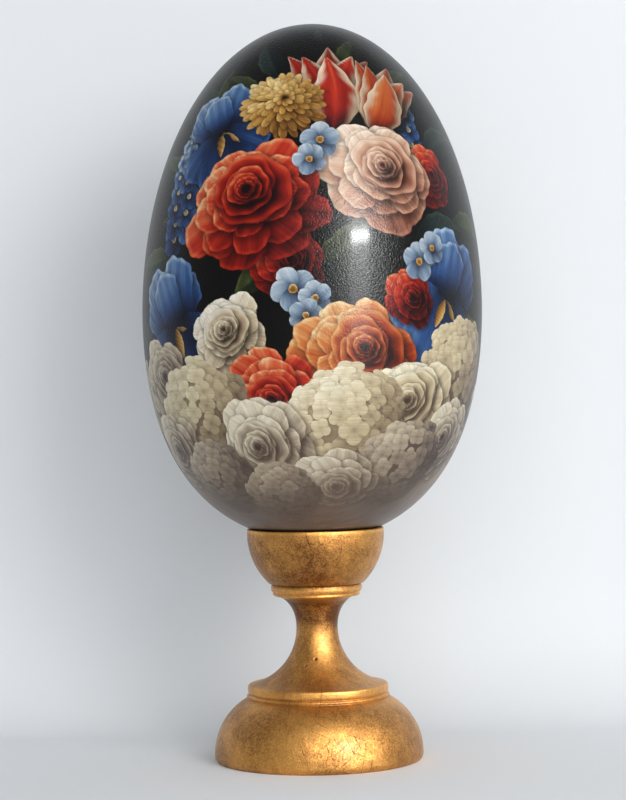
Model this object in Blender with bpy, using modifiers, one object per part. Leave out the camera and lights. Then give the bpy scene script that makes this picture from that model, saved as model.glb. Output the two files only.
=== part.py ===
"""Painted wooden egg standing in a turned, gilded egg cup.

Metres, +Z up. The origin is the centre of the foot's flat underside, and the
picture on the egg faces -Y. Both pieces are turned about an upright axis: each is
an outline in the X-Z plane, swept round by a Screw modifier.
"""
import math

import bpy
from mathutils import Vector

# The egg: half its height, its girth, and how its outline departs from an ellipse
EGG_HALF_HEIGHT = 0.0950
EGG_GIRTH_RADIUS = 0.0621
EGG_TAPER = 0.090
EGG_FULLNESS = 0.098
EGG_TIP_BLUNTNESS = 0.038
EGG_LEAN = math.radians(1.0)

# The seat between egg and cup
SEAT_GAP = 0.0004
SEAT_WIDTH = 0.0030
DISH_ROOM = 0.0070

# The cup: a half ball with a rounded lip
CUP_RADIUS = 0.0252
CUP_DROP = 0.0256
CUP_BALL_HEIGHT = 0.0184
CUP_WALL_RISE = 0.0018
CUP_LIP_ROUND = 0.0006

# The collar under the cup: a bead and a small fillet under it
COLLAR_RADIUS = 0.0168
COLLAR_HEIGHT = 0.0034
COLLAR_ROUND = 0.0012
COLLAR_FILLET_RADIUS = 0.0161
COLLAR_FILLET_HEIGHT = 0.0012

# The stem: two coves that meet at the waist
WAIST_RADIUS = 0.0076
UPPER_COVE_HEIGHT = 0.0116
UPPER_COVE_FLARE = 0.0083
LOWER_COVE_RADIUS = 0.0212

# The ring on the foot, with its fillet
RING_RADIUS = 0.0259
RING_HEIGHT = 0.0037
RING_SHOULDER = 0.0016
RING_GROOVE = 0.0007
RING_FILLET_RADIUS = 0.0263
RING_FILLET_HEIGHT = 0.0013

# The foot: a domed base with a small rounded bottom edge
FOOT_RADIUS = 0.0384
FOOT_DOME_WIDTH = 0.0221
FOOT_DOME_HEIGHT = 0.0228
FOOT_DOME_LIFT = 0.0206
FOOT_EDGE_HEIGHT = 0.0024
FOOT_EDGE_INSET = 0.0014

# Where the mouldings' arcs start and end, in degrees above level, seen from each arc's centre
LIP_ARC = (60, 0)
BEAD_ARC = (62, -68)
COLLAR_FILLET_ARC = (50, -80)
UPPER_COVE_ARC = (98, 180)
RING_ARC = (68, -62)
RING_FILLET_ARC = (60, -60)

# How finely the outlines are drawn
TURNING_STEPS = 48
EGG_STEPS = 32
LONG_ARC_STEPS = 8
ROUND_STEPS = 5
SMALL_ROUND_STEPS = 3
FINE_ROUND_STEPS = 2
MERGE_DISTANCE = 0.00002

GOLD = (0.62, 0.36, 0.10, 1.0)
PAINT = (0.055, 0.050, 0.052, 1.0)


def ellipse_arc(centre, radii, ends, steps):
    """Points on an ellipse about centre, between two angles in degrees, measured from +X towards +Z."""
    start, end = ends
    points = []
    for i in range(steps + 1):
        angle = math.radians(start + (end - start) * i / steps)
        points.append((centre[0] + radii[0] * math.cos(angle), centre[1] + radii[1] * math.sin(angle)))
    return points


def egg_point(turn):
    """Outline of the egg at turn radians down from its tip, about its middle: radius and height."""
    level = math.cos(turn)
    swell = 1 - EGG_TAPER * level + EGG_FULLNESS * level**2 - EGG_TIP_BLUNTNESS * level**3
    return EGG_GIRTH_RADIUS * math.sin(turn) * swell, EGG_HALF_HEIGHT * level


def turn_at_radius(radius):
    """How far down the egg's underside has this radius, found by halving the span that holds it."""
    wide, narrow = math.pi * 0.6, math.pi
    for _ in range(50):
        middle = (wide + narrow) / 2
        if egg_point(middle)[0] > radius:
            wide = middle
        else:
            narrow = middle
    return (wide + narrow) / 2


def egg_slope(turn):
    """Rise of the egg's underside for each unit outwards."""
    step = 1e-4
    near, far = egg_point(turn + step), egg_point(turn - step)
    return (far[1] - near[1]) / (far[0] - near[0])


def stand_levels():
    """Heights where the stand's members meet, from the underside up."""
    level = {"foot_edge": FOOT_EDGE_HEIGHT}
    level["dome_top"] = level["foot_edge"] + FOOT_DOME_LIFT
    level["ring_bottom"] = level["dome_top"] + RING_FILLET_HEIGHT
    level["ring_top"] = level["ring_bottom"] + RING_HEIGHT
    shoulder = RING_RADIUS - RING_SHOULDER
    reach = min(1.0, (shoulder - WAIST_RADIUS) / LOWER_COVE_RADIUS)
    level["waist"] = level["ring_top"] + LOWER_COVE_RADIUS * math.sqrt(1 - (1 - reach) ** 2)
    level["collar_fillet"] = level["waist"] + UPPER_COVE_HEIGHT
    level["collar_bottom"] = level["collar_fillet"] + COLLAR_FILLET_HEIGHT
    level["collar_top"] = level["collar_bottom"] + COLLAR_HEIGHT
    level["cup_middle"] = level["collar_top"] + CUP_BALL_HEIGHT
    level["lip"] = level["cup_middle"] + CUP_WALL_RISE
    return level


LEVEL = stand_levels()
SEAT_OUTER = CUP_RADIUS - CUP_LIP_ROUND
SEAT_INNER = SEAT_OUTER - SEAT_WIDTH
SEAT_TURN = turn_at_radius(SEAT_OUTER)
# The egg's middle stands where its underside clears the seat's outer edge by the gap.
EGG_MIDDLE = LEVEL["lip"] + SEAT_GAP - egg_point(SEAT_TURN)[1]
EGG_BOTTOM = EGG_MIDDLE - EGG_HALF_HEIGHT
# The egg leans about the point where its seat's normals meet the axis, so it stays in its seat.
SEAT_CENTRE = EGG_MIDDLE + egg_point(SEAT_TURN)[1] + SEAT_OUTER / egg_slope(SEAT_TURN)


def seat_height(radius):
    """Height of the seat under the egg's skin, with the gap left between them."""
    return EGG_MIDDLE + egg_point(turn_at_radius(radius))[1] - SEAT_GAP


def cup_inside():
    """The dish under the egg and the seat that the egg rests on, from the axis out to the lip."""
    floor = EGG_BOTTOM - DISH_ROOM
    wall = seat_height(SEAT_INNER)
    dish = ellipse_arc((0, wall), (SEAT_INNER, wall - floor), (-90, 0), LONG_ARC_STEPS)
    seat = [(r, seat_height(r)) for r in (SEAT_INNER + SEAT_WIDTH / 2, SEAT_OUTER)]
    return dish + seat


def cup_outside():
    """The rounded lip, and the half ball down to the collar."""
    lip_centre = (SEAT_OUTER, LEVEL["lip"] - CUP_LIP_ROUND)
    lip = ellipse_arc(lip_centre, (CUP_RADIUS - SEAT_OUTER, CUP_LIP_ROUND), LIP_ARC, FINE_ROUND_STEPS)
    turn = math.degrees(math.asin(CUP_BALL_HEIGHT / CUP_DROP))
    ball = ellipse_arc((0, LEVEL["cup_middle"]), (CUP_RADIUS, CUP_DROP), (0, -turn), LONG_ARC_STEPS)
    return lip + ball


def collar():
    """The collar's bead, and the fillet between it and the stem."""
    middle = (LEVEL["collar_top"] + LEVEL["collar_bottom"]) / 2
    bead_centre = (COLLAR_RADIUS - COLLAR_ROUND, middle)
    bead = ellipse_arc(bead_centre, (COLLAR_ROUND, COLLAR_HEIGHT / 2), BEAD_ARC, ROUND_STEPS)
    half = COLLAR_FILLET_HEIGHT / 2
    fillet_centre = (COLLAR_FILLET_RADIUS - half, LEVEL["collar_fillet"] + half)
    fillet = ellipse_arc(fillet_centre, (half, half), COLLAR_FILLET_ARC, SMALL_ROUND_STEPS)
    return bead + fillet


def stem():
    """The upper cove from the collar to the waist, and the lower cove from the waist to the ring."""
    upper_centre = (WAIST_RADIUS + UPPER_COVE_FLARE, LEVEL["waist"])
    upper = ellipse_arc(upper_centre, (UPPER_COVE_FLARE, UPPER_COVE_HEIGHT), UPPER_COVE_ARC, LONG_ARC_STEPS)
    shoulder = RING_RADIUS - RING_SHOULDER
    lower_centre = (WAIST_RADIUS + LOWER_COVE_RADIUS, LEVEL["waist"])
    reach = math.degrees(math.acos(max(-1.0, (lower_centre[0] - shoulder) / LOWER_COVE_RADIUS)))
    lower_ends = (180, 180 + reach)
    lower = ellipse_arc(lower_centre, (LOWER_COVE_RADIUS, LOWER_COVE_RADIUS), lower_ends, LONG_ARC_STEPS)
    return upper + lower[1:]


def ring():
    """The ring on the foot with its rounded edge, and the fillet under it."""
    middle = (LEVEL["ring_top"] + LEVEL["ring_bottom"]) / 2
    edge_centre = (RING_RADIUS - RING_SHOULDER, middle)
    edge = ellipse_arc(edge_centre, (RING_SHOULDER, RING_HEIGHT / 2), RING_ARC, ROUND_STEPS)
    half = RING_FILLET_HEIGHT / 2
    fillet_centre = (RING_FILLET_RADIUS - RING_GROOVE, LEVEL["dome_top"] + half)
    fillet = ellipse_arc(fillet_centre, (RING_GROOVE, half), RING_FILLET_ARC, FINE_ROUND_STEPS)
    return edge + fillet


def foot():
    """The dome down to the foot's edge, the edge's round, and the flat underside in to the axis."""
    dome_centre = (FOOT_RADIUS - FOOT_DOME_WIDTH, FOOT_EDGE_HEIGHT)
    start = math.degrees(math.asin(min(0.98, FOOT_DOME_LIFT / FOOT_DOME_HEIGHT)))
    dome = ellipse_arc(dome_centre, (FOOT_DOME_WIDTH, FOOT_DOME_HEIGHT), (start, 0), LONG_ARC_STEPS)
    edge_centre = (FOOT_RADIUS - FOOT_EDGE_INSET, FOOT_EDGE_HEIGHT)
    edge = ellipse_arc(edge_centre, (FOOT_EDGE_INSET, FOOT_EDGE_HEIGHT), (0, -90), SMALL_ROUND_STEPS)
    return dome + edge[1:] + [(0, 0)]


def turned(name, outline, material, collection):
    """A solid of revolution about Z, from an outline that runs down its outer side."""
    mesh = bpy.data.meshes.new(name)
    mesh.from_pydata([(x, 0, z) for x, z in outline], [(i, i + 1) for i in range(len(outline) - 1)], [])
    obj = bpy.data.objects.new(name, mesh)
    collection.objects.link(obj)
    screw = obj.modifiers.new("turning", "SCREW")
    screw.steps = screw.render_steps = TURNING_STEPS
    screw.use_merge_vertices = True
    screw.merge_threshold = MERGE_DISTANCE
    screw.use_smooth_shade = True
    mesh.materials.append(material)
    return obj


def principled(name, colour, roughness, metallic):
    """A plain Principled material."""
    material = bpy.data.materials.new(name)
    material.use_nodes = True
    shader = material.node_tree.nodes["Principled BSDF"]
    shader.inputs["Base Color"].default_value = colour
    shader.inputs["Roughness"].default_value = roughness
    shader.inputs["Metallic"].default_value = metallic
    return material


def build_stand(collection):
    """The egg cup, turned from one piece of wood and gilded."""
    outline = cup_inside() + cup_outside() + collar() + stem() + ring() + foot()
    return turned("gilded_stand", outline, principled("gold_leaf", GOLD, 0.38, 1.0), collection)


def build_egg(collection):
    """The egg, turned about its own axis, leaning in its seat."""
    drop = EGG_MIDDLE - SEAT_CENTRE
    points = [egg_point(math.pi * i / EGG_STEPS) for i in range(EGG_STEPS + 1)]
    outline = [(x, z + drop) for x, z in points]
    outline[0] = (0, outline[0][1])
    outline[-1] = (0, outline[-1][1])
    egg = turned("painted_egg", outline, principled("oil_paint", PAINT, 0.35, 0.0), collection)
    egg.location = Vector((0, 0, SEAT_CENTRE))
    egg.rotation_euler = (0, EGG_LEAN, 0)
    return egg


def main():
    for obj in list(bpy.data.objects):
        bpy.data.objects.remove(obj, do_unlink=True)
    collection = bpy.data.collections.new("painted_egg_on_stand")
    bpy.context.scene.collection.children.link(collection)
    build_stand(collection)
    build_egg(collection)


main()
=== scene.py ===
"""Looks of a painted wooden egg in its gilded, turned egg cup.

Metres, +Z up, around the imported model. The egg carries a bouquet in oils on a near-black
ground, over a bank of pale snowball blossoms; the stand is gold leaf on turned wood.
Colours are written as screen values from 0 to 255 and turned to linear light.
"""
import math

import bpy
import numpy as np
from mathutils import Matrix, Vector


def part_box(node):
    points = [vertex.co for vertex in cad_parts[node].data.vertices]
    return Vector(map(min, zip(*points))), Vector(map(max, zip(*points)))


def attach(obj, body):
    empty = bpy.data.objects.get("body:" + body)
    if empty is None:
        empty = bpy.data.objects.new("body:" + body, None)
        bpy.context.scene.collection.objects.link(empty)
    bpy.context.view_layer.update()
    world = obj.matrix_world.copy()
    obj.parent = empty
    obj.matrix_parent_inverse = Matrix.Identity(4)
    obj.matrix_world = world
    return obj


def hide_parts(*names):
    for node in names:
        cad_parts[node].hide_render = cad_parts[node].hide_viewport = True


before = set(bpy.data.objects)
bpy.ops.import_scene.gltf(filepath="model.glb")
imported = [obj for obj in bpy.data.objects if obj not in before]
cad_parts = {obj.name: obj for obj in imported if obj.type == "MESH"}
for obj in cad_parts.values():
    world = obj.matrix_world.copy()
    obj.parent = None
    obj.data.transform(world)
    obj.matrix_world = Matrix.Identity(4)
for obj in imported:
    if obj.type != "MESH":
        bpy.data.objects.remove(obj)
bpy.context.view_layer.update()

# The camera stands in front, at the height of the egg's lower third, and leans a little
CAMERA_AWAY = 0.820
CAMERA_HEIGHT = 0.134
CAMERA_LENS = 100.1
CAMERA_LEAN = math.radians(1.03)
CAMERA_DROP = math.radians(0.129)

# The egg's outline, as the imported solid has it
EGG_HALF_HEIGHT = 0.0950
EGG_GIRTH_RADIUS = 0.0621
EGG_TAPER = 0.090
EGG_FULLNESS = 0.098
EGG_TIP_BLUNTNESS = 0.038
EGG_LEAN = math.radians(1.0)
EGG_COLUMNS = 304
EGG_ROWS = 324
FIRST_ROW_TURN = math.radians(0.8)
UV_MARGIN = 0.01

MM = 0.001
GOLDEN_ANGLE = math.radians(137.508)
# The painted light comes from the upper left, as steps to the right and up
LIGHT = np.array((-0.62, 0.78))


def linear(*colours):
    """Screen colours, 0 to 255, as rows of linear light."""
    c = np.array(colours, float) / 255
    return np.where(c <= 0.04045, c / 12.92, ((c + 0.055) / 1.055) ** 2.4)


def smooth(low, high, x):
    """0 below low, 1 above high, and an even S between them."""
    t = np.clip((x - low) / (high - low), 0, 1)
    return t * t * (3 - 2 * t)


def bump_at(middle, width, x):
    """A bell of height 1 at middle."""
    return np.exp(-(((x - middle) / width) ** 2))


def towards(angle):
    """A step of length 1 at an angle."""
    return np.array((math.cos(angle), math.sin(angle)))


def lit(x, y):
    """How far a point lies towards the painted light."""
    return x * LIGHT[0] + y * LIGHT[1]


# Tones of each paint, from deepest shade to brightest light
RED = linear((22, 5, 6), (78, 12, 10), (140, 24, 16), (190, 48, 28), (222, 110, 68), (244, 200, 150))
ORANGE = linear((36, 10, 6), (108, 30, 14), (168, 62, 26), (206, 112, 54), (230, 168, 104), (248, 222, 172))
FLESH = linear((58, 26, 20), (122, 70, 52), (178, 122, 98), (212, 166, 138), (232, 202, 176), (248, 232, 214))
CREAM = linear((58, 44, 34), (112, 92, 70), (164, 144, 116),
               (204, 186, 156), (230, 216, 190), (248, 242, 226))
OCHRE = linear((36, 20, 8), (92, 58, 22), (148, 100, 42), (192, 144, 70), (222, 184, 112), (246, 226, 170))
BLUE = linear((6, 10, 22), (16, 30, 58), (28, 54, 98), (50, 86, 140), (96, 132, 176), (178, 202, 222))
PALE_BLUE = linear((20, 28, 40), (50, 64, 86), (84, 104, 130),
                   (128, 148, 170), (172, 188, 202), (214, 224, 230))
LEAF = linear((6, 9, 6), (20, 28, 14), (42, 52, 26), (74, 84, 44), (118, 124, 76), (168, 168, 118))
DUSK_LEAF = linear((5, 8, 9), (14, 24, 24), (30, 46, 42), (56, 76, 66), (94, 112, 98), (140, 154, 136))
BLOSSOM = linear((72, 56, 44), (116, 98, 78), (160, 141, 112),
                 (200, 182, 146), (226, 211, 176), (245, 237, 210))
DUSK_BLOSSOM = linear((58, 46, 42), (94, 80, 72), (134, 119, 104),
                      (172, 156, 134), (206, 192, 166), (234, 224, 200))
GROUND = linear((10, 9, 10))[0]
SHADOW = linear((8, 5, 5))[0]
BANK_SHADOW = linear((74, 56, 46))[0]
HAZE = linear((116, 102, 92))[0]
WARM_HAZE = linear((148, 130, 110))[0]


def egg_outline(turn):
    """Radius and height at turn radians from the tip.

    A half ellipse whose radius swells by a cubic in the level.
    """
    level = np.cos(turn)
    swell = 1 - EGG_TAPER * level + EGG_FULLNESS * level**2 - EGG_TIP_BLUNTNESS * level**3
    return EGG_GIRTH_RADIUS * np.sin(turn) * swell, EGG_HALF_HEIGHT * level


def shared_steps(low, high, count, spread):
    """count + 1 values from low to high, set further apart where spread(value) is larger."""
    fine = np.linspace(low, high, 4001)
    density = 1 / spread(fine)
    run = np.concatenate(([0], np.cumsum((density[1:] + density[:-1]) / 2)))
    return np.interp(np.linspace(0, run[-1], count + 1), run, fine)


def egg_grid():
    """Points of the upright egg: rows by turn from the tip, columns by angle round it.

    Point = (radius sin angle, -radius cos angle, height), so angle 0 faces the viewer. Rows
    and columns are closest together in front and at the middle.
    """
    around = shared_steps(-math.pi, math.pi, EGG_COLUMNS,
                          lambda angle: 1 + 2.6 * smooth(0.9, 2.3, abs(angle)))[:-1]
    down = shared_steps(FIRST_ROW_TURN, math.pi - FIRST_ROW_TURN, EGG_ROWS,
                        lambda turn: 1 + 0.9 * smooth(0.45, 1.1, abs(turn - 1.62)))
    radius, height = egg_outline(down)
    return np.stack((radius[:, None] * np.sin(around), -radius[:, None] * np.cos(around),
                     np.repeat(height[:, None], len(around), 1)), 2)


def grid_faces(rows, columns):
    """Quads of a grid whose rows run down and close on themselves, facing outwards."""
    i, j = np.meshgrid(np.arange(rows - 1), np.arange(columns), indexing="ij")
    k = (j + 1) % columns
    quads = (i * columns + j, (i + 1) * columns + j, (i + 1) * columns + k, i * columns + k)
    return np.stack(quads, 2).reshape(-1, 4)


def pole_caps(rows, columns):
    """Triangles that close such a grid at both ends, to the two points that follow its own."""
    j = np.arange(columns)
    k = (j + 1) % columns
    top, last = rows * columns, (rows - 1) * columns
    upper = np.column_stack((np.full(columns, top), j, k))
    lower = np.column_stack((np.full(columns, top + 1), last + k, last + j))
    return np.vstack((upper, lower))


class Place:
    """A spot on the upright egg, with its directions right and up along the skin.

    Its angle is in degrees from the front, its height in millimetres from the middle.
    """

    def __init__(self, angle, height):
        turn = math.acos(max(-1, min(1, height * MM / EGG_HALF_HEIGHT)))
        angle = math.radians(angle)
        radius, level = egg_outline(turn)
        above = egg_outline(turn - 1e-4)
        rise = np.array((above[0] - radius, above[1] - level))
        rise /= np.hypot(*rise)
        side = np.array((math.sin(angle), -math.cos(angle), 0))
        self.at = side * radius + np.array((0, 0, level))
        self.right = np.array((math.cos(angle), math.sin(angle), 0))
        self.up = side * rise[0] + np.array((0, 0, rise[1]))


class Painter:
    """Paint laid on the egg's faces, kept at each face's corners.

    A face holds the newest paint, what lies under it, how far inside the newest paint's edge each
    corner is, so that an edge stays sharp inside a face, and its place in the brush marks.
    """

    FAR = 0.01

    def __init__(self, corners, ground):
        self.corners = corners
        self.middles = corners.mean(1)
        self.top = np.broadcast_to(ground, corners.shape).copy()
        self.under = self.top.copy()
        self.edge = np.full(corners.shape[:2], self.FAR)
        self.run = corners.copy()
        self.shadow = SHADOW
        self.strokes = 0

    def near(self, place, centre, reach):
        """Faces within reach of a point, with their corners' distances to the right and up from the place."""
        point = place.at + centre[0] * place.right + centre[1] * place.up
        found = np.nonzero(((self.middles - point) ** 2).sum(1) < reach * reach)[0]
        apart = self.corners[found] - place.at
        return found, apart @ place.right, apart @ place.up

    def tint(self, found, colour, weight):
        """Mixes colour into both layers of the found faces."""
        weight = weight[..., None]
        self.top[found] += (colour - self.top[found]) * weight
        self.under[found] += (colour - self.under[found]) * weight

    def lay(self, place, centre, reach, shape, shade=0.5, soft=2.4 * MM):
        """A sharp-edged stroke with a soft shadow: shape gives what a face holds at each point."""
        found, x, y = self.near(place, centre, reach + 2 * soft)
        if shade:
            fall = shape(x + 0.5 * soft * LIGHT[0], y + 0.5 * soft * LIGHT[1])[0]
            self.tint(found, self.shadow, shade * smooth(-soft, 0.3 * soft, fall))
        inside, colour, along, across = shape(x, y)
        covered = inside > 0
        some, whole = covered.any(1), covered.all(1)
        cut = some & ~whole
        crossed = found[cut]
        seen = np.where(self.edge[crossed][..., None] > 0, self.top[crossed], self.under[crossed])
        self.under[crossed] = seen
        self.edge[crossed] = inside[cut]
        self.under[found[whole]] = colour[whole]
        self.edge[found[whole]] = self.FAR
        self.top[found[some]] = colour[some]
        self.strokes += 1
        run = np.stack((along, across, np.full(along.shape, 0.37 * self.strokes % 7)), 2)
        self.run[found[some]] = run[some]


def toned(tones, tone):
    """Colour at tone, 0 to 1, along a row of paints."""
    stops = np.linspace(0, 1, len(tones))
    return np.stack([np.interp(tone, stops, tones[:, k]) for k in range(3)], -1)


def tilted(x, y, lean, squash):
    """Undoes the foreshortening of a bloom that leans towards an angle."""
    c, s = math.cos(lean), math.sin(lean)
    a, b = (x * c + y * s) / squash, y * c - x * s
    return a * c - b * s, a * s + b * c


def petal(base, aim, length, width, tones, tone, size, rng, belly=0.62, ruffle=0.035,
          deep=0.36, pleats=2.5, lean=0.0, squash=1.0, rim=0.17):
    """One petal: an ellipse split at its belly, with a waved rim, dark at its base.

    tone is where its middle stands among the tones, size the bloom's radius, ruffle how far the
    rim waves, deep how dark the base is, pleats how many folds there are, rim how light it is.
    """
    ca, sa = math.cos(aim), math.sin(aim)
    wave, fold, bend = rng.uniform(0, 6.3), rng.uniform(0, 6.3), rng.uniform(-0.3, 0.3)
    along_light, across_light = lit(ca, sa), lit(-sa, ca)

    def shape(x, y):
        px, py = tilted(x, y, lean, squash)
        dx, dy = px - base[0], py - base[1]
        u = (dx * ca + dy * sa) / length
        v = (dy * ca - dx * sa) / (width / 2) - bend * u * u
        p = (u - belly) / np.where(u > belly, 1 - belly, belly)
        turn = np.arctan2(v, p)
        edge = 1 + ruffle * (np.sin(5 * turn + wave) + 0.6 * np.sin(11 * turn + 2 * wave))
        out = np.hypot(p, v) / edge
        inside = (1 - out) * min(width / 2, length * (1 - belly))
        lift = smooth(0.0, 0.85, u)
        t = tone + 0.24 * lift - deep * np.exp(-((np.maximum(u, 0) / 0.3) ** 2))
        t = t + rim * bump_at(0.93, 0.09, out) * smooth(-0.3, 0.5, p)
        crease = pleats * math.pi * v
        t = t + (0.06 * np.sin(crease + fold) + 0.03 * np.sin(3 * crease + 2 * fold)) * lift
        t = t + 0.11 * across_light * v + 0.09 * along_light
        t = t + 0.20 * lit(px, py) / size
        return inside, toned(tones, t), u * length, v * width / 2

    return shape


def lay_petal(paint, place, shape, base, aim, length, shade=0.5, soft=2.4 * MM):
    """Lays a long shape, from its base the way it aims."""
    paint.lay(place, base + 0.5 * length * towards(aim), 0.75 * length + 0.8 * MM, shape, shade, soft)


def curl(middle, radius, heading, tones, tone, size, rng, lean, squash, ruffle=0.05):
    """A petal wrapped round a bloom's heart: a waved disc, light along its rim and dark within."""
    wave, light_side = rng.uniform(0, 6.3), math.atan2(LIGHT[1], LIGHT[0])

    def shape(x, y):
        px, py = tilted(x, y, lean, squash)
        dx, dy = px - middle[0], py - middle[1]
        turn = np.arctan2(dy, dx)
        edge = 1 + ruffle * (np.sin(3 * turn + wave) + 0.7 * np.sin(7 * turn + 2 * wave))
        out = np.hypot(dx, dy) / (radius * edge)
        t = tone + 0.36 * smooth(0.45, 1.0, out) - 0.22 + 0.14 * bump_at(0.95, 0.07, out)
        t = t + 0.12 * np.cos(turn - light_side) + 0.08 * np.cos(turn - heading)
        t = t + 0.05 * np.sin(9 * turn + wave) * smooth(0.5, 0.9, out)
        t = t + 0.14 * lit(px, py) / size
        return (1 - out) * radius, toned(tones, t), turn * radius, out * radius

    return shape


def full_bloom(paint, angle, height, size, tones, seed, rings, wraps, facing=100, squash=0.88,
               heart=0.52, tone=0.46, shade=0.55):
    """A rose or peony: rings of petals from the outermost in, then petals wrapped round the heart.

    Each wrapped petal is smaller than the last, and turned on from it.
    """
    rng = np.random.default_rng(seed)
    place, size, lean = Place(angle, height), size * MM, math.radians(facing)
    soft = 0.11 * size
    for depth, (count, start, length, width) in enumerate(rings):
        origin = 0.07 * size * depth * towards(lean)
        first = rng.uniform(0, 6.3)
        for k in range(count):
            # Every other petal goes down before the ones between them
            aim = first + 2 * math.pi * (k * 2 % count + (k * 2 >= count and count % 2 == 0)) / count
            aim += rng.uniform(-0.14, 0.14)
            grown = size * length * rng.uniform(0.86, 1.1)
            base = origin + start * size * towards(aim)
            shape = petal(base, aim, grown, size * width * rng.uniform(0.86, 1.14), tones,
                          tone + rng.uniform(-0.08, 0.08) + 0.03 * depth, size, rng,
                          lean=lean, squash=squash)
            lay_petal(paint, place, shape, base, aim, grown, shade, soft)
    middle = 0.07 * size * len(rings) * towards(lean)
    radius = heart * size
    for k in range(wraps):
        heading = k * GOLDEN_ANGLE + rng.uniform(-0.3, 0.3)
        spot = middle + 0.17 * radius * towards(heading)
        shape = curl(spot, radius, heading, tones, tone + rng.uniform(-0.06, 0.06), size, rng, lean, squash)
        paint.lay(place, spot, radius * 1.25, shape, shade, 0.8 * soft)
        radius *= 0.82
    pip = curl(middle, radius * 1.1, 0, tones, tone - 0.22, size, rng, lean, squash)
    paint.lay(place, middle, radius * 1.4, pip, shade, 0.4 * soft)


def rayed_bloom(paint, angle, height, size, tones, seed, rings, facing=90, squash=0.9, tone=0.40):
    """A chrysanthemum: rings of many narrow petals round a small, dark eye."""
    rng = np.random.default_rng(seed)
    place, size, lean = Place(angle, height), size * MM, math.radians(facing)
    for depth, (count, start, length, width) in enumerate(rings):
        origin = 0.05 * size * depth * towards(lean)
        for k in range(count):
            aim = 2 * math.pi * (k + 0.5 * (depth % 2)) / count + rng.uniform(-0.09, 0.09)
            grown = size * length * rng.uniform(0.86, 1.06)
            base = origin + start * size * towards(aim)
            shape = petal(base, aim, grown, size * width, tones,
                          tone + rng.uniform(-0.1, 0.1) + 0.04 * depth, size, rng, belly=0.7,
                          ruffle=0.0, deep=0.3, pleats=1.0, lean=lean, squash=squash, rim=0.1)
            lay_petal(paint, place, shape, base, aim, grown, 0.45, 1.2 * MM)


def small_bloom(paint, place, middle, size, tones, rng, tone, eye=OCHRE):
    """A small flower of five round petals, with a dotted eye."""
    petals, first = 5, rng.uniform(0, 6.3)
    for k in range(petals):
        aim = first + 2 * math.pi * k / petals
        shape = petal(middle, aim, size, size * 5.2 / (petals + 0.6), tones,
                      tone + rng.uniform(-0.1, 0.1), 4 * size, rng, belly=0.6, ruffle=0.02,
                      deep=0.24, pleats=1.6, rim=0.12)
        lay_petal(paint, place, shape, middle, aim, size, 0.45, 1.4 * MM)
    heart = curl(middle, 0.2 * size, 0, eye, 0.55, 4 * size, rng, 0, 1)
    paint.lay(place, middle, 0.3 * size, heart, 0.4, 0.6 * MM)


def blade(base, aim, length, width, bend, fullness, look):
    """A pointed form along a bent midrib: its half width is a skewed sine of the way along it.

    look gives its colour from the way along, 0 to 1, and the way across, -1 to 1.
    """
    ca, sa = math.cos(aim), math.sin(aim)

    def shape(x, y):
        dx, dy = x - base[0], y - base[1]
        u = (dx * ca + dy * sa) / length
        v = (dy * ca - dx * sa) / (width / 2) - bend * (1 - (2 * u - 1) ** 2)
        along = np.clip(u, 0, 1)
        half = np.sin(math.pi * along**fullness) ** 0.9 * (1 + 0.05 * np.sin(26 * along))
        inside = np.where((u > 0) & (u < 1), (half - abs(v)) * width / 2, -abs(v) * width / 2 - 0.2 * MM)
        return inside, look(along, v / np.maximum(half, 0.05)), u * length, v * width / 2

    return shape


def leaf(paint, angle, height, aim, length, width, tones, seed, tone=0.4):
    """A pointed leaf, one half lighter than the other, with a midrib and side veins."""
    rng = np.random.default_rng(seed)
    aim = math.radians(aim)
    lighter = 1 if lit(-math.sin(aim), math.cos(aim)) > 0 else -1

    def look(along, side):
        ribs = np.maximum(0, np.cos(2 * math.pi * (7 * along - 1.6 * abs(side)))) ** 5
        t = tone + 0.12 * lighter * np.sign(side) * smooth(0, 0.12, abs(side))
        t = t + 0.16 * bump_at(0, 0.10, side)
        t = t + 0.07 * ribs + 0.16 * smooth(0.7, 1.0, abs(side)) * (lighter * side > 0)
        return toned(tones, t - 0.24 * smooth(0.45, 0.0, along))

    shape = blade((0, 0), aim, length * MM, width * MM, rng.uniform(-0.5, 0.5), 0.85, look)
    lay_petal(paint, Place(angle, height), shape, (0, 0), aim, length * MM, 0.5)


def tulip(paint, angle, height, aim, size, tones, flames, seed, tone=0.40):
    """A striped tulip: pointed petals, with flames of a paler paint up their edges."""
    rng = np.random.default_rng(seed)
    place, size, aim = Place(angle, height), size * MM, math.radians(aim)
    for spread, length, width, step in TULIP:
        wave, fold = rng.uniform(0, 6.3), rng.uniform(0, 6.3)
        heading = aim + math.radians(spread)
        across_light = lit(-math.sin(heading), math.cos(heading))

        def look(along, side):
            t = tone + step + 0.20 * along - 0.30 * smooth(0.35, 0.0, along) + 0.18 * across_light * side
            t = t + 0.05 * np.sin(8 * side + fold) + 0.14 * smooth(0.75, 1.0, abs(side))
            t = t + 0.08 * bump_at(0, 0.1, side)
            ragged = 0.20 * np.sin(13 * along + wave) + 0.12 * np.sin(31 * along + 7 * abs(side) + fold)
            flame = smooth(0.52, 1.0, abs(side) + ragged * along + 0.10 * along)[..., None] * 0.85
            plain = toned(tones, t)
            return plain + (toned(flames, t + 0.12) - plain) * flame

        shape = blade((0, 0), heading, size * length, size * width, -0.25 * np.sign(spread), 0.72, look)
        lay_petal(paint, place, shape, (0, 0), heading, size * length, 0.6, 0.12 * size)


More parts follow.
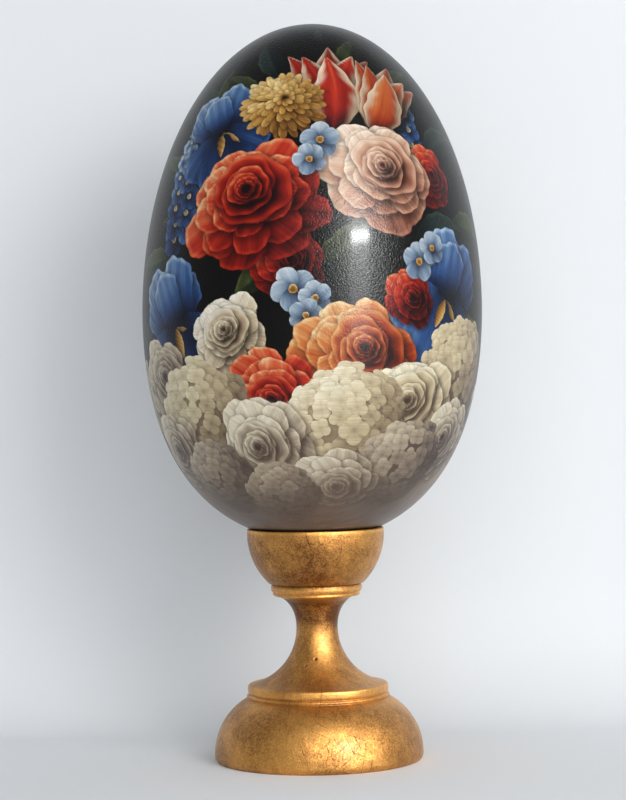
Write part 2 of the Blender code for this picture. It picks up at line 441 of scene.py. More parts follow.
def iris(paint, angle, height, size, tones, seed, turn=0, tone=0.40):
    """An iris: three broad falls, three ruffled standards above them, and a beard on each fall."""
    rng = np.random.default_rng(seed)
    place, size = Place(angle, height), size * MM
    for heading, reach, width, fall in IRIS:
        aim = math.radians(heading + turn) + rng.uniform(-0.1, 0.1)
        shape = petal((0, 0), aim, size * reach, size * width, tones,
                      tone + 0.05 * fall + rng.uniform(-0.06, 0.06), size, rng, belly=0.66,
                      ruffle=0.055, deep=0.10 if fall else 0.40, pleats=3.4, rim=0.20)
        lay_petal(paint, place, shape, (0, 0), aim, size * reach, 0.6, 0.12 * size)
        if fall:
            beard = blade((0, 0), aim, 0.42 * size, 0.15 * size, 0, 0.8,
                          lambda along, side: toned(OCHRE, 0.5 + 0.3 * side + 0.08 * np.sin(60 * along)))
            lay_petal(paint, place, beard, (0, 0), aim, 0.42 * size, 0.4, 0.8 * MM)


def spike(paint, angle, height, aim, length, size, tones, seed, count=15, tone=0.38):
    """A flower spike: small blooms along a bent stem, smaller towards the tip."""
    rng = np.random.default_rng(seed)
    place, aim = Place(angle, height), math.radians(aim)
    for k in range(count):
        share = k / (count - 1)
        grown = size * MM * (1 - 0.68 * share**1.2)
        swing = (-1 if k % 2 else 1) * 0.62 * grown + rng.uniform(-0.2, 0.2) * grown
        along = length * MM * share
        middle = along * towards(aim) + swing * towards(aim + math.pi / 2)
        small_bloom(paint, place, middle, grown, tones, rng, tone + 0.12 * rng.uniform(-1, 1), CREAM)


def snowball(paint, angle, height, size, tones, seed, tone=0.62, floret=0.24):
    """A ball of small four-petalled florets, set out in a sunflower spiral and lit as a ball."""
    rng = np.random.default_rng(seed)
    place, size = Place(angle, height), size * MM

    def ball(x, y):
        out = np.hypot(x, y) / size
        return (1 - out) * size, toned(tones, tone - 0.25 + 0.25 * lit(x, y) / size), x, y

    paint.lay(place, (0, 0), size * 1.05, ball, 0.5, 0.2 * size)
    count = int(3.4 / floret**2)
    spots = [(math.sin(0.5 * math.pi * math.sqrt((k + 0.5) / count)), k * GOLDEN_ANGLE) for k in range(count)]
    for reach, turn in sorted(spots, reverse=True):
        cx, cy = reach * size * math.cos(turn), reach * size * math.sin(turn)
        cx += rng.uniform(-0.08, 0.08) * size
        cy += rng.uniform(-0.08, 0.08) * size
        form = tone + 0.40 * lit(cx, cy) / size - 0.16 * reach**3 + rng.uniform(-0.08, 0.08)
        grown = floret * size * rng.uniform(0.8, 1.25)
        first, thin = rng.uniform(0, 6.3), 1 - 0.42 * reach**2

        def shape(x, y):
            px, py = tilted(x - cx, y - cy, turn, thin)
            quarter = np.cos(2 * (np.arctan2(py, px) - first))
            out = np.hypot(px, py) / (grown * (0.74 + 0.26 * abs(quarter)))
            t = form + 0.08 * smooth(0.2, 0.9, out) - 0.18 * bump_at(0, 0.3, quarter) * out
            t = t - 0.16 * bump_at(0, 0.2, out) + 0.08 * lit(px, py) / grown
            return (1 - out) * grown, toned(tones, t), px, py

        paint.lay(place, (cx, cy), grown * 1.1, shape, 0.28, 1.2 * MM)


# Rings of petals: how many, where they start, their length and their width, as shares of the bloom
PEONY = ((9, 0.16, 0.82, 0.66), (8, 0.12, 0.68, 0.58), (7, 0.10, 0.54, 0.50), (6, 0.06, 0.44, 0.44))
ROSE = ((7, 0.20, 0.80, 0.78), (6, 0.14, 0.62, 0.70))
CABBAGE = ((7, 0.18, 0.82, 0.80), (7, 0.16, 0.66, 0.66), (6, 0.10, 0.52, 0.58))
MUM = ((26, 0.30, 0.70, 0.19), (23, 0.22, 0.62, 0.18), (19, 0.15, 0.50, 0.16), (14, 0.09, 0.36, 0.14),
       (9, 0.04, 0.22, 0.12))
# A tulip's petals from the back: heading in degrees, length, width, and step in tone
TULIP = ((-23, 0.96, 0.34, 0.0), (23, 0.96, 0.34, -0.08), (0, 1.0, 0.42, -0.04),
         (-14, 0.94, 0.38, 0.05), (16, 0.90, 0.38, -0.05), (2, 0.86, 0.44, 0.08))
# An iris's petals from the back: heading in degrees, length, width, and 1 for one that falls
IRIS = ((40, 0.78, 0.52, 0), (142, 0.80, 0.52, 0), (66, 0.94, 0.66, 0), (116, 0.96, 0.66, 0),
        (218, 0.92, 0.74, 1), (322, 0.92, 0.74, 1), (268, 1.02, 0.86, 1), (92, 0.80, 0.58, 0))


def wave_of(x, seed, turns=(1, 2, 3, 5, 8)):
    """A slow wave that closes on itself round a piece, between about -1 and 1."""
    rng = np.random.default_rng(seed)
    return sum(np.sin(n * x + rng.uniform(0, 6.3)) / n**0.6 for n in turns) / len(turns) ** 0.7


def lay_haze(paint, low, high, strength):
    """A grey-tan veil on the egg's lower end, thicker from the level high down to low, in slow waves."""
    x, y, z = np.moveaxis(paint.corners, -1, 0)
    around = np.arctan2(x, -y)
    height = z / MM + 5 * wave_of(around, 5)
    weight = strength * smooth(high, low, height)[..., None]
    warm = WARM_HAZE + (HAZE - WARM_HAZE) * smooth(-62, -84, height)[..., None]
    cloudy = 1 + 0.12 * wave_of(around * 3 + z * 90, 6)[..., None]
    for layer in (paint.top, paint.under):
        layer += (warm * cloudy - layer) * weight


def lay_leaves(paint):
    """Leaves that stand out from behind the flowers."""
    # Angle, height, heading, length and width
    sprays = (
        (-30, 50, 132, 30, 12), (-46, 36, 158, 28, 12), (-54, 8, 184, 26, 11), (-16, 70, 116, 22, 9),
        (14, 74, 66, 20, 9), (30, 62, 42, 26, 11), (46, 42, 22, 28, 12), (54, 18, -4, 28, 12),
        (54, -14, -24, 26, 12), (-54, -14, 204, 26, 12), (-38, 58, 108, 22, 9), (24, 50, 64, 28, 11),
        (-4, 50, 94, 26, 11), (0, 2, 44, 30, 13), (-4, 8, 214, 28, 12), (26, 0, -26, 28, 12),
        (-24, -6, 246, 28, 12), (28, -36, -44, 26, 11), (-14, -30, 256, 26, 11), (-46, -30, 226, 24, 11),
        (44, -30, -38, 24, 11), (40, 52, 74, 22, 9), (-24, 64, 146, 20, 8), (4, 30, 84, 28, 12),
        (36, 12, 12, 26, 12), (-40, 16, 170, 24, 11), (2, -40, -80, 22, 10), (8, 84, 92, 12, 5),
    )
    for k, (angle, height, aim, length, width) in enumerate(sprays):
        tones = LEAF if k % 3 else DUSK_LEAF
        leaf(paint, angle, height, aim, length, width, tones, 40 + k, 0.24 + 0.06 * (k % 3))


def lay_bank(paint):
    """The bank of cream blossoms round the egg's lower part, dimmer behind."""
    # Angle, height, size, in front the tone too, and 1 for a snowball or 0 for a rose
    behind = ((152, -52, 20, 0), (-152, -54, 20, 0), (180, -58, 21, 0), (125, -56, 21, 0), (-125, -53, 20, 0),
              (100, -52, 19, 1), (-100, -56, 19, 0), (78, -52, 18, 0), (-80, -50, 18, 1))
    for k, (angle, height, size, ball) in enumerate(behind):
        if ball:
            snowball(paint, angle, height, size, DUSK_BLOSSOM, 70 + k, 0.48, 0.34)
        else:
            full_bloom(paint, angle, height, size, DUSK_BLOSSOM, 70 + k, ROSE, 6, 90, tone=0.38, shade=0.6)
    front = ((60, -34, 19, 0.40, 1), (-60, -38, 19, 0.34, 0), (-42, -50, 19, 0.50, 1), (36, -46, 21, 0.44, 0),
             (60, -58, 17, 0.34, 0), (-62, -62, 17, 0.34, 0), (12, -52, 19, 0.57, 1), (-17, -58, 19, 0.45, 0),
             (38, -66, 16, 0.38, 1), (-42, -71, 14, 0.34, 1), (11, -71, 15, 0.36, 0), (-14, -76, 12, 0.38, 1))
    for k, (angle, height, size, tone, ball) in enumerate(front):
        tones = DUSK_BLOSSOM if height < -56 or angle < -50 else BLOSSOM
        if ball:
            snowball(paint, angle, height, size, tones, 90 + k, tone + 0.02)
        else:
            full_bloom(paint, angle, height, size, tones, 90 + k, CABBAGE, 8, 60 + 20 * k,
                       tone=tone, shade=0.7)


def lay_bouquet(paint):
    """The flowers, from the ones furthest back to the ones in front."""
    spike(paint, 38, 38, 88, 42, 6.5, BLUE, 1, tone=0.32)
    spike(paint, -50, 14, 98, 40, 6.5, BLUE, 2, tone=0.30)
    iris(paint, -38, 50, 22, BLUE, 16, 20, 0.29)
    iris(paint, 48, -8, 27, BLUE, 17, -24, 0.31)
    iris(paint, -50, -18, 27, BLUE, 18, 22, 0.27)
    full_bloom(paint, 47, 36, 12, RED, 19, ROSE, 8, 20, tone=0.22)
    full_bloom(paint, -8, 3, 14, RED, 22, CABBAGE, 8, 60, tone=0.10)
    full_bloom(paint, 33, -8, 11, RED, 23, ROSE, 8, 40, tone=0.12)
    tulip(paint, 8, 50, 88, 38, RED, CREAM, 20, 0.32)
    tulip(paint, 25, 50, 66, 33, ORANGE, CREAM, 21, 0.28)
    rayed_bloom(paint, -13, 60, 16, OCHRE, 4, MUM, 80, tone=0.31)
    full_bloom(paint, 24, 35, 23, FLESH, 8, CABBAGE, 11, 60, tone=0.33)
    full_bloom(paint, -21, 24, 27, RED, 9, PEONY, 9, 110, tone=0.27)
    rng = np.random.default_rng(12)
    sprigs = ((3, 47, 7), (-1, 40, 6), (-6, -5, 8), (1, -8, 6), (-2, -14, 6), (37, 5, 7), (43, 10, 6))
    for angle, height, size in sprigs:
        small_bloom(paint, Place(angle, height), (0, 0), size * MM, PALE_BLUE, rng, 0.41)
    full_bloom(paint, -28, -21, 16, CREAM, 13, CABBAGE, 9, 120, tone=0.39)
    full_bloom(paint, 14, -30, 25, ORANGE, 14, PEONY, 9, 60, tone=0.25)
    full_bloom(paint, -12, -40, 18, RED, 15, CABBAGE, 8, 240, tone=0.28)


def lay_posy(paint):
    """A small posy on the egg's plain back."""
    for k, aim in enumerate((15, 62, 100, 150, 205, 248, 290, 335)):
        leaf(paint, 180, 8, aim, 30, 13, LEAF if k % 2 else DUSK_LEAF, 80 + k, 0.28)
    full_bloom(paint, 195, 18, 13, ORANGE, 33, ROSE, 6, 40, tone=0.30)
    full_bloom(paint, 166, -2, 13, CREAM, 32, ROSE, 6, 200, tone=0.42)
    full_bloom(paint, 183, 8, 17, RED, 31, CABBAGE, 8, 100, tone=0.29)


def painted_picture(paint):
    """The whole picture, in the order it was painted."""
    lay_haze(paint, -66, -42, 1)
    lay_leaves(paint)
    lay_posy(paint)
    lay_bouquet(paint)
    paint.shadow = BANK_SHADOW
    lay_bank(paint)
    lay_haze(paint, -90, -58, 0.85)


def fill_corners(layers, name, kind, field, values, rest):
    """A value at each face corner; rest fills the corners that values doesn't reach."""
    layer = layers.new(name, kind, "CORNER")
    whole = np.full((len(layer.data),) + values.shape[1:], rest, np.float32)
    whole[: len(values)] = values
    layer.data.foreach_set(field, whole.ravel())


def smooth_mesh(name, points, faces, material):
    """A smooth-shaded mesh object from points and the lists of each face's points."""
    mesh = bpy.data.meshes.new(name)
    mesh.from_pydata(points, [], faces)
    mesh.shade_smooth()
    mesh.materials.append(material)
    obj = bpy.data.objects.new(name, mesh)
    bpy.context.scene.collection.objects.link(obj)
    return obj


def make_egg(material):
    """The egg: the fine grid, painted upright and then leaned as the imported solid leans."""
    points = egg_grid()
    rows, columns = points.shape[:2]
    faces = grid_faces(rows, columns)
    flat = points.reshape(-1, 3)
    paint = Painter(flat[faces], GROUND)
    painted_picture(paint)
    poles = ((0, 0, EGG_HALF_HEIGHT), (0, 0, -EGG_HALF_HEIGHT))
    x, y, z = np.vstack((flat, poles)).T
    low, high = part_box("painted_egg")
    centre = (low + high) / 2
    c, s = towards(EGG_LEAN)
    placed = np.column_stack((x * c + z * s + centre.x, y + centre.y, z * c - x * s + centre.z))
    polygons = faces.tolist() + pole_caps(rows, columns).tolist()
    egg = smooth_mesh("painted_egg_surface", placed, polygons, material)
    for name, laid in (("newest_paint", paint.top), ("paint_beneath", paint.under)):
        colours = np.insert(laid.reshape(-1, 3), 3, 1, axis=1)
        fill_corners(egg.data.color_attributes, name, "FLOAT_COLOR", "color", colours, colours[0])
    layers = egg.data.attributes
    fill_corners(layers, "paint_edge", "FLOAT", "value", paint.edge.ravel(), Painter.FAR)
    fill_corners(layers, "brush_run", "FLOAT_VECTOR", "vector", paint.run.reshape(-1, 3), 0)
    unwrap_grid(egg.data, rows, columns)
    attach(egg, "root")
    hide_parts("painted_egg")


def unwrap_grid(mesh, rows, columns):
    """A flat layout of the egg: columns across, rows down, and the caps in strips at both ends."""
    layer = mesh.uv_layers.new(name="OFBake")
    i, j = np.meshgrid(np.arange(rows - 1), np.arange(columns), indexing="ij")
    u = np.stack((j, j, j + 1, j + 1), 2) / columns
    v = 1 - (np.stack((i, i + 1, i + 1, i), 2) + 1) / (rows + 1)
    quads = np.stack((u, v), 3).reshape(-1, 2)
    j = np.arange(columns)
    high, low = 1 - 1 / (rows + 1), 1 - rows / (rows + 1)
    parts = [quads]
    for steps, levels in (((0.5, 0, 1), (1, high, high)), ((0.5, 1, 0), (0, low, low))):
        across = (j[:, None] + steps) / columns
        parts.append(np.stack((across, np.broadcast_to(levels, across.shape)), 2).reshape(-1, 2))
    spread = UV_MARGIN + (1 - 2 * UV_MARGIN) * np.vstack(parts)
    layer.data.foreach_set("uv", spread.astype(np.float32).ravel())


def arc(centre, radii, ends, steps, flatness=1.0):
    """Points on an ellipse, between two angles in degrees, measured from +X towards +Z.

    Its sine and cosine are raised to flatness, which under 1 makes a flatter face with rounder corners.
    """
    turn = np.radians(np.linspace(ends[0], ends[1], steps + 1))
    across, up = (np.sign(f(turn)) * abs(f(turn)) ** flatness for f in (np.cos, np.sin))
    return np.column_stack((centre[0] + radii[0] * across, centre[1] + radii[1] * up))


# The stand's outline, in millimetres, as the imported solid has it
CUP_RADIUS = 25.2
CUP_DROP = 25.6
CUP_BALL = 18.4
CUP_RISE = 1.8
LIP_ROUND = 0.6
SEAT_WIDTH = 3.0
SEAT_GAP = 0.4
DISH_ROOM = 7.0
COLLAR_RADIUS = 16.8
COLLAR_HEIGHT = 3.4
COLLAR_ROUND = 1.2
COLLAR_FILLET_RADIUS = 16.1
COLLAR_FILLET_HEIGHT = 1.2
WAIST_RADIUS = 7.6
UPPER_COVE_HEIGHT = 11.6
UPPER_COVE_FLARE = 8.3
LOWER_COVE = 21.2
RING_RADIUS = 25.9
RING_HEIGHT = 3.7
RING_SHOULDER = 1.6
RING_FILLET_RADIUS = 26.3
RING_FILLET_HEIGHT = 1.3
RING_GROOVE = 0.7
DOME_WIDTH = 22.1
DOME_HEIGHT = 22.8
DOME_LIFT = 20.6
FOOT_EDGE_HEIGHT = 2.4
FOOT_EDGE_INSET = 1.4
COLLAR_FLATNESS = 0.9
RING_FLATNESS = 0.65
UNEVENNESS = 0.045
STAND_COLUMNS = 280


def stand_outline():
    """Outline of the stand in millimetres, from the dish out over the lip and down to the underside."""
    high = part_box("gilded_stand")[1]
    foot_radius, lip = high.x / MM, high.z / MM
    egg_low, egg_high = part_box("painted_egg")
    egg_middle = (egg_low.z + egg_high.z) / 2 / MM
    cup_middle = lip - CUP_RISE
    collar_top = cup_middle - CUP_BALL
    collar_low = collar_top - COLLAR_HEIGHT
    waist = collar_low - COLLAR_FILLET_HEIGHT - UPPER_COVE_HEIGHT
    ring_low = FOOT_EDGE_HEIGHT + DOME_LIFT + RING_FILLET_HEIGHT
    turns = np.linspace(math.pi * 0.6, math.pi, 2000)
    under = np.array(egg_outline(turns)) / MM
    seat_outer = CUP_RADIUS - LIP_ROUND
    seat_inner = seat_outer - SEAT_WIDTH
    seat_at = np.linspace(seat_inner, seat_outer, 5)
    seat_height = np.interp(seat_at, under[0, ::-1], under[1, ::-1]) + egg_middle - SEAT_GAP
    seat = np.column_stack((seat_at, seat_height))
    floor = egg_middle - EGG_HALF_HEIGHT / MM - DISH_ROOM
    dish = arc((0, seat[0, 1]), (seat_inner, seat[0, 1] - floor), (-90, 0), 30)
    rounded = arc((seat_outer, lip - LIP_ROUND), (LIP_ROUND, LIP_ROUND), (60, 0), 5)
    ball_end = -math.degrees(math.asin(CUP_BALL / CUP_DROP))
    ball = arc((0, cup_middle), (CUP_RADIUS, CUP_DROP), (0, ball_end), 60)
    bead_middle = (COLLAR_RADIUS - COLLAR_ROUND, (collar_top + collar_low) / 2)
    bead = arc(bead_middle, (COLLAR_ROUND, COLLAR_HEIGHT / 2), (66, -70), 22, COLLAR_FLATNESS)
    half = COLLAR_FILLET_HEIGHT / 2
    fillet = arc((COLLAR_FILLET_RADIUS - half, collar_low - half), (half, half), (50, -80), 8)
    upper = arc((WAIST_RADIUS + UPPER_COVE_FLARE, waist), (UPPER_COVE_FLARE, UPPER_COVE_HEIGHT),
                (98, 180), 40)
    shoulder = RING_RADIUS - RING_SHOULDER
    reach = math.degrees(math.acos((WAIST_RADIUS + LOWER_COVE - shoulder) / LOWER_COVE))
    lower = arc((WAIST_RADIUS + LOWER_COVE, waist), (LOWER_COVE, LOWER_COVE), (180, 180 + reach), 50)
    ring = arc((shoulder, ring_low + RING_HEIGHT / 2), (RING_SHOULDER, RING_HEIGHT / 2), (72, -66), 22,
               RING_FLATNESS)
    half = RING_FILLET_HEIGHT / 2
    ledge = arc((RING_FILLET_RADIUS - RING_GROOVE, ring_low - half), (RING_GROOVE, half), (60, -60), 8)
    dome_from = math.degrees(math.asin(DOME_LIFT / DOME_HEIGHT))
    dome = arc((foot_radius - DOME_WIDTH, FOOT_EDGE_HEIGHT), (DOME_WIDTH, DOME_HEIGHT), (dome_from, 0), 60)
    edge = arc((foot_radius - FOOT_EDGE_INSET, FOOT_EDGE_HEIGHT), (FOOT_EDGE_INSET, FOOT_EDGE_HEIGHT),
               (0, -90), 10)
    underside = np.array(((foot_radius * 0.5, 0), (0.4, 0)))
    return np.vstack((dish[1:], seat[1:], rounded, ball, bead, fillet, upper, lower[1:], ring, ledge, dome,
                      edge[1:], underside))


def make_stand(material):
    """The stand: its outline carried round the axis, with the gesso's slight unevenness.

    Point = (radius cos angle, radius sin angle, height), with a slow wave in the radius, which
    fades out at the axis, the underside and the dish.
    """
    outline = stand_outline() * MM
    step = np.hypot(*np.diff(outline, axis=0).T)
    run = np.concatenate(([0], np.cumsum(step)))
    radius, height = outline.T
    around = np.linspace(0, 2 * math.pi, STAND_COLUMNS, endpoint=False)
    fade = smooth(0, 4 * MM, radius) * smooth(0, 1.5 * MM, height) * (run > 26 * MM)
    uneven = UNEVENNESS * MM * wave_of(around + run[:, None] * 60, 21) * fade[:, None]
    ring = radius[:, None] + uneven
    level = np.repeat(height[:, None], STAND_COLUMNS, 1)
    points = np.stack((ring * np.cos(around), ring * np.sin(around), level), 2)
    rows, columns = points.shape[:2]
    flat = np.vstack((points.reshape(-1, 3), ((0, 0, height[0]), (0, 0, 0))))
    polygons = grid_faces(rows, columns).tolist() + pole_caps(rows, columns).tolist()
    stand = smooth_mesh("gilded_stand_surface", flat, polygons, material)
    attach(stand, "root")
    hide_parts("gilded_stand")


class Value:
    """One output of a node. Arithmetic on it adds Math nodes; numbers stay numbers."""

    def __init__(self, tree, socket):
        self.tree, self.socket = tree, socket

    def maths(self, operation, *terms):
        """A Math node on these terms."""
        return add_node(self.tree, "ShaderNodeMath", {"operation": operation}, dict(enumerate(terms)))

    def __add__(self, other):
        return self.maths("ADD", self, other)

    __radd__ = __add__

    def __sub__(self, other):
        return self.maths("SUBTRACT", self, other)

    def __rsub__(self, other):
        return self.maths("SUBTRACT", other, self)

    def __mul__(self, other):
        return self.maths("MULTIPLY", self, other)

    __rmul__ = __mul__

    def part(self, k):
        """One coordinate of a vector."""
        return add_node(self.tree, "ShaderNodeSeparateXYZ", {}, {0: self}, k)

    def capped(self):
        """Never more than 1."""
        return self.maths("MINIMUM", self, 1.0)

    def step(self, low, high):
        """0 below low, 1 above high, an even S between."""
        ends = {"From Min": low, "From Max": high}
        settings = {"interpolation_type": "SMOOTHSTEP"}
        return add_node(self.tree, "ShaderNodeMapRange", settings, {"Value": self, **ends})

    def mixed(self, first, second):
        """The colour first where this is 0 and second where it is 1."""
        sockets = {0: self, 6: first, 7: second}
        return add_node(self.tree, "ShaderNodeMix", {"data_type": "RGBA"}, sockets, 2)

    def stretched(self, x, y, z):
        """A vector scaled by three numbers."""
        return add_node(self.tree, "ShaderNodeVectorMath", {"operation": "MULTIPLY"}, {0: self, 1: (x, y, z)})

    def dimmed(self, factor):
        """A colour times a factor."""
        return add_node(self.tree, "ShaderNodeVectorMath", {"operation": "SCALE"}, {0: self, "Scale": factor})

    def noise(self, scale, detail=2.0, roughness=0.5):
        """Even noise at this point of space."""
        sockets = {"Vector": self, "Scale": scale, "Detail": detail, "Roughness": roughness}
        return add_node(self.tree, "ShaderNodeTexNoise", {}, sockets)


def feed(tree, node, sockets):
    """Gives a node's sockets their values or links."""
    for key, given in sockets.items():
        if isinstance(given, Value):
            tree.links.new(given.socket, node.inputs[key])
        else:
            node.inputs[key].default_value = given


def add_node(tree, kind, settings, sockets, out=0):
    """Any node: its type, its settings, the values or links of its sockets, and the wanted output."""
    node = tree.nodes.new(kind)
    for key, setting in settings.items():
        setattr(node, key, setting)
    feed(tree, node, sockets)
    return Value(tree, node.outputs[out])


def new_material(name):
    """A material, its tree and its Principled shader."""
    material = bpy.data.materials.new(name)
    material.use_nodes = True
    tree = material.node_tree
    return material, tree, tree.nodes["Principled BSDF"]


def opaque(colour):
    """A colour with its alpha, for a socket."""
    return (*(float(c) for c in colour), 1.0)


def oil_paint():
    """Oils and varnish: the laid colours, a sharp edge between newest and older paint, and brush marks."""
    material, tree, shader = new_material("oil_paint")
    newest, beneath, edge, run = (
        add_node(tree, "ShaderNodeAttribute", {"attribute_name": name}, {}, out)
        for name, out in (("newest_paint", 0), ("paint_beneath", 0), ("paint_edge", 2), ("brush_run", 1)))
    place = add_node(tree, "ShaderNodeTexCoord", {}, {}, 3)
    # The edge between two paints, a little ragged and 0.26 mm soft
    ragged = place.noise(2600, 2) - 0.5
    cover = (edge + ragged * 0.00030).step(-0.00013, 0.00013)
    colour = cover.mixed(beneath, newest)
    # Bristle marks, broader strokes and grain
    bristles = run.stretched(110, 1500, 1).noise(1, 3, 0.6)
    broad = run.stretched(50, 420, 1).noise(1, 2)
    grain = place.noise(3200, 2, 0.6)
    colour = colour.dimmed(0.29 + bristles * 0.56 + broad * 0.34 + grain * 0.12)
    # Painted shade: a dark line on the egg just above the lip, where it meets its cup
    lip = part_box("gilded_stand")[1].z
    colour = place.part(2).step(lip + 0.0002, lip + 0.0016).mixed(opaque(linear((26, 16, 10))[0]), colour)
    # Varnish, glossier in patches, over a fine weave
    roughness = 0.27 + place.noise(42, 2) * 0.08 + grain * 0.05
    relief = place.noise(1500, 1, 0.6) + bristles * 0.15
    bump = add_node(tree, "ShaderNodeBump", {}, {"Strength": 1.0, "Distance": 0.00014, "Height": relief})
    feed(tree, shader, {"Base Color": colour, "Roughness": roughness, "Normal": bump,
                        "Specular IOR Level": 0.16, "Coat Weight": 0.08, "Coat Roughness": 0.11})
    return material


# Chips and pits of the stand, and a patch of painted shade low on the front of its cup: middle and radius, in
# millimetres
PITS = ((-0.6, -10.8, 38.0, 0.8), (-4.3, -11.6, 35.8, 0.6), (4.1, -36.0, 9.9, 0.7), (-35.0, -13.2, 2.8, 1.1))
PAINTED_SHADE_PATCH = (-3.0, -22.0, 72.0, 15.5)
# Painted highlights: bands of brighter gold at the ring, the collar and the lip, from one height to another,
# and how much
PAINTED_HIGHLIGHT_BANDS = ((0.0238, 0.0284, 0.13), (0.0592, 0.0640, 0.29), (0.0833, 0.0871, 0.25))
# Each set of hairlines leans this much, in radians; one is so wide and so long, in metres
HAIRLINE_LEANS = (0.20, -0.38, 0.85, -1.15)
HAIRLINE_SIZE = (0.0007, 0.017)


def gold_leaf():
    """Gold leaf, shellacked and worn: mottled, speckled brown, with stray hairlines, a few pits, painted
    shade on the cup and under the collar, and painted highlights on its edges.
    """
    material, tree, shader = new_material("gold_leaf")
    place = add_node(tree, "ShaderNodeTexCoord", {}, {}, 3)
    grit = place.noise(1700, 4, 0.85)
    middling = place.noise(300, 3, 0.65)
    slow = place.noise(55, 3)
    dust = place.noise(760, 3, 0.7)
    height = place.part(2)
    speck = (grit * 0.80 + dust * 0.20).step(0.39, 0.62)
    blotch = (middling * 0.30 + slow * 0.70).step(0.38, 0.62)
    # Painted shade: the cup a little darker, and the upper cove under the collar darker
    bowl_painted_shade = height.step(0.0630, 0.0670)
    nape_painted_shade = height.step(0.0455, 0.052) - height.step(0.0575, 0.0600)
    # Painted highlights: brighter, glossier gold along the ring, the collar and the lip
    painted_highlights = sum((height.step(low, low + MM) - height.step(high - MM, high)) * share
                 for low, high, share in PAINTED_HIGHLIGHT_BANDS)
    lines = sum(scratches(place, lean) for lean in HAIRLINE_LEANS)
    pits = sum(pit_and_shade_spot(place, *spot) for spot in PITS)
    # Painted shade on the cup, under the collar and in a patch low on the cup's front, less the painted
    # highlight bands
    painted_shade_and_highlights = bowl_painted_shade * 0.07 + nape_painted_shade * 0.40 + pit_and_shade_spot(place, *PAINTED_SHADE_PATCH) * 0.16 - painted_highlights
    dull = (0.19 + speck * 0.38 + blotch * 0.34 + painted_shade_and_highlights + lines * 0.27 + pits).capped()
    bright = opaque((0.93, 0.465, 0.115))
    brown = opaque((0.125, 0.037, 0.005))
    relief = grit * 0.8 + dust * 0.5 + middling * 0.8 - lines * 0.09 - pits
    bump = add_node(tree, "ShaderNodeBump", {}, {"Strength": 1.0, "Distance": 0.00018, "Height": relief})
    feed(tree, shader, {"Base Color": dull.mixed(bright, brown), "Metallic": 0.96 - dull * 0.26,
                        "Roughness": 0.28 + dull * 0.12 + slow * 0.08, "Normal": bump,
                        "Specular IOR Level": 0.3, "Coat Weight": 0.17, "Coat Roughness": 0.32})
    return material


def scratches(place, lean):
    """Thin dark lines on the stand's skin, which is laid flat and leaned, and broken off in places.

    Flat point = (angle times a middle radius, 0, height).
    """
    x, y, height = (place.part(k) for k in range(3))
    around = x.maths("ARCTAN2", x, 0 - y) * (WAIST_RADIUS + RING_RADIUS) * MM
    flat = add_node(place.tree, "ShaderNodeCombineXYZ", {}, {0: around, 2: height})
    wide, long = HAIRLINE_SIZE
    leaned = add_node(place.tree, "ShaderNodeMapping", {"vector_type": "TEXTURE"},
                      {0: flat, "Rotation": (0, lean, 0), "Scale": (wide, 1.0, long)})
    kept = place.noise(70, 1).step(0.44, 0.56)
    return leaned.noise(1, 2, 0.5).step(0.65, 0.70) * kept


def pit_and_shade_spot(place, x, y, z, radius):
    """A round mark about a point, full within half its radius: a small dark hollow, or, made wide, the patch
    of painted shade on the cup.
    """
    point = {0: place, 1: (x * MM, y * MM, z * MM)}
    apart = add_node(place.tree, "ShaderNodeVectorMath", {"operation": "DISTANCE"}, point, 1)
    return 1 - apart.step(0.5 * radius * MM, radius * MM)


# The room, in metres: the floor's near end, where the lamps give out, its far end, and the wall
BACKDROP_NEAR = -0.60
LAMPS_END = -1.0
BACKDROP_FAR = 1.4
BACKDROP_WALL = 0.115
BACKDROP_BEND = 0.055
BACKDROP_TOP = 0.42
BACKDROP_HALF_WIDTH = 1.6
ROOM_TINT = (0.95, 0.975, 1.0, 1)


def pale_backdrop(name, far_glow=0.0):
    """Pale paper, clear from behind; far_glow lights its far front part, which the lamps don't reach."""
    material, tree, shader = new_material(name)
    feed(tree, shader, {"Base Color": opaque(linear((229, 232, 235))[0]), "Roughness": 0.8})
    if far_glow:
        depth = add_node(tree, "ShaderNodeTexCoord", {}, {}, 3).part(1)
        glow = (1 - depth.step(LAMPS_END, BACKDROP_NEAR)) * far_glow
        feed(tree, shader, {"Emission Strength": glow, "Emission Color": ROOM_TINT})
    behind = add_node(tree, "ShaderNodeNewGeometry", {}, {}, 6)
    clear = add_node(tree, "ShaderNodeBsdfTransparent", {}, {})
    both = add_node(tree, "ShaderNodeMixShader", {}, {0: behind, 1: Value(tree, shader.outputs[0]), 2: clear})
    feed(tree, tree.nodes["Material Output"], {"Surface": both})
    return material


def staged_sheet(name, line, material):
    """A sheet across the scene: a line in depth and height, carried straight from side to side."""
    across = np.linspace(-BACKDROP_HALF_WIDTH, BACKDROP_HALF_WIDTH, 3)
    rows, columns = len(line), len(across)
    depth, height = (np.repeat(part[:, None], columns, 1) for part in np.array(line).T)
    points = np.stack((np.tile(across, (rows, 1)), depth, height), 2).reshape(-1, 3)
    i, j = np.meshgrid(np.arange(rows - 1), np.arange(columns - 1), indexing="ij")
    k = i * columns + j
    faces = np.stack((k, k + 1, k + columns + 1, k + columns), 2).reshape(-1, 4)
    sheet = smooth_mesh(name, points, faces.tolist(), material)
    return sheet


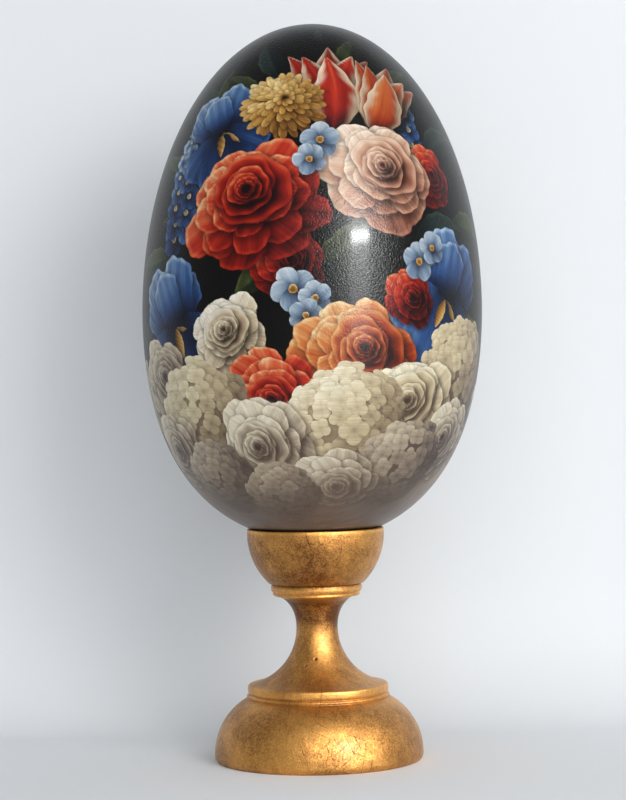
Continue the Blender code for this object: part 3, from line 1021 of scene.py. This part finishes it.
def make_backdrop():
    """A pale floor, and a sweep that rises from it in a quarter bend to a wall behind the egg."""
    material = pale_backdrop("pale_backdrop")
    bend = arc((BACKDROP_WALL - BACKDROP_BEND, BACKDROP_BEND), (BACKDROP_BEND, BACKDROP_BEND), (-90, 0), 24)
    staged_sheet("pale_floor", ((BACKDROP_NEAR, 0), bend[0]), material)
    sweep = staged_sheet("pale_sweep", np.vstack((bend, (BACKDROP_WALL, BACKDROP_TOP))), material)
    sweep.visible_shadow = False
    staged_sheet("pale_floor_behind", (bend[0], (BACKDROP_FAR, 0)), material)
    before = staged_sheet("pale_floor_before", ((-BACKDROP_FAR * 2, 0), (BACKDROP_NEAR, 0)),
                          pale_backdrop("pale_floor_far", 0.46))
    before.visible_diffuse = before.visible_glossy = False


def make_camera():
    """The camera looks along +Y, a hair downwards, and leans so that the stand tips left in the frame."""
    camera = bpy.data.objects.new("camera", bpy.data.cameras.new("camera"))
    bpy.context.scene.collection.objects.link(camera)
    camera.data.lens = CAMERA_LENS
    camera.data.clip_start, camera.data.clip_end = 0.05, 20
    forward = Vector((0, math.cos(CAMERA_DROP), -math.sin(CAMERA_DROP)))
    up = Vector((math.sin(CAMERA_LEAN), 0, math.cos(CAMERA_LEAN)))
    right = forward.cross(up).normalized()
    up = right.cross(forward)
    turn = Matrix((right, up, -forward)).transposed()
    camera.matrix_world = Matrix.Translation((0, -CAMERA_AWAY, CAMERA_HEIGHT)) @ turn.to_4x4()
    bpy.context.scene.camera = camera


# Each light: degrees to the right of the camera and above level, distance, width and height in
# metres, watts, colour, and whether only gloss shows it
LIGHTS = {
    "window": (30, 18, 1.2, 0.58, 0.56, 6.4, (1.0, 0.985, 0.96), False),
    "window_pane": (31, 12, 1.2, 0.28, 0.84, 12.6, (0.98, 0.99, 1.0), True),
    "window_strip": (33, 19, 1.2, 0.25, 0.055, 17.0, (0.98, 0.99, 1.0), True),
    "fill": (2, 12, 1.9, 1.6, 1.2, 11.5, (0.97, 0.985, 1.0), False),
    "sky": (10, 62, 1.9, 1.6, 1.2, 4.6, (0.97, 0.985, 1.0), False),
}
LIGHTS_AIM = (0, 0, 0.15)


def make_light(name, angle, rise, away, width, height, watts, colour, in_gloss):
    """A soft rectangular light that faces the egg."""
    data = bpy.data.lights.new(name, "AREA")
    data.shape, data.size, data.size_y = "RECTANGLE", width, height
    data.energy, data.color = watts, colour
    light = bpy.data.objects.new(name, data)
    bpy.context.scene.collection.objects.link(light)
    angle, rise = math.radians(angle), math.radians(rise)
    back = Vector((math.sin(angle) * math.cos(rise), -math.cos(angle) * math.cos(rise), math.sin(rise)))
    light.location = Vector(LIGHTS_AIM) + back * away
    light.rotation_euler = back.to_track_quat("Z", "Y").to_euler()
    light.visible_glossy, light.visible_diffuse = in_gloss, not in_gloss


def make_lights():
    """A soft window to the right, the tall pane and bright strip that the gloss shows, and the room."""
    for name, values in LIGHTS.items():
        make_light(name, *values)
    world = bpy.data.worlds.new("pale_room")
    world.use_nodes = True
    tree = world.node_tree
    # Brighter where the camera looks past the wall than as a light
    seen = add_node(tree, "ShaderNodeLightPath", {}, {})
    feed(tree, tree.nodes["Background"], {"Color": ROOM_TINT, "Strength": 0.34 + seen * 0.40})
    bpy.context.scene.world = world
    bpy.context.scene.view_settings.view_transform = "Standard"


make_camera()
make_backdrop()
make_lights()
make_egg(oil_paint())
make_stand(gold_leaf())
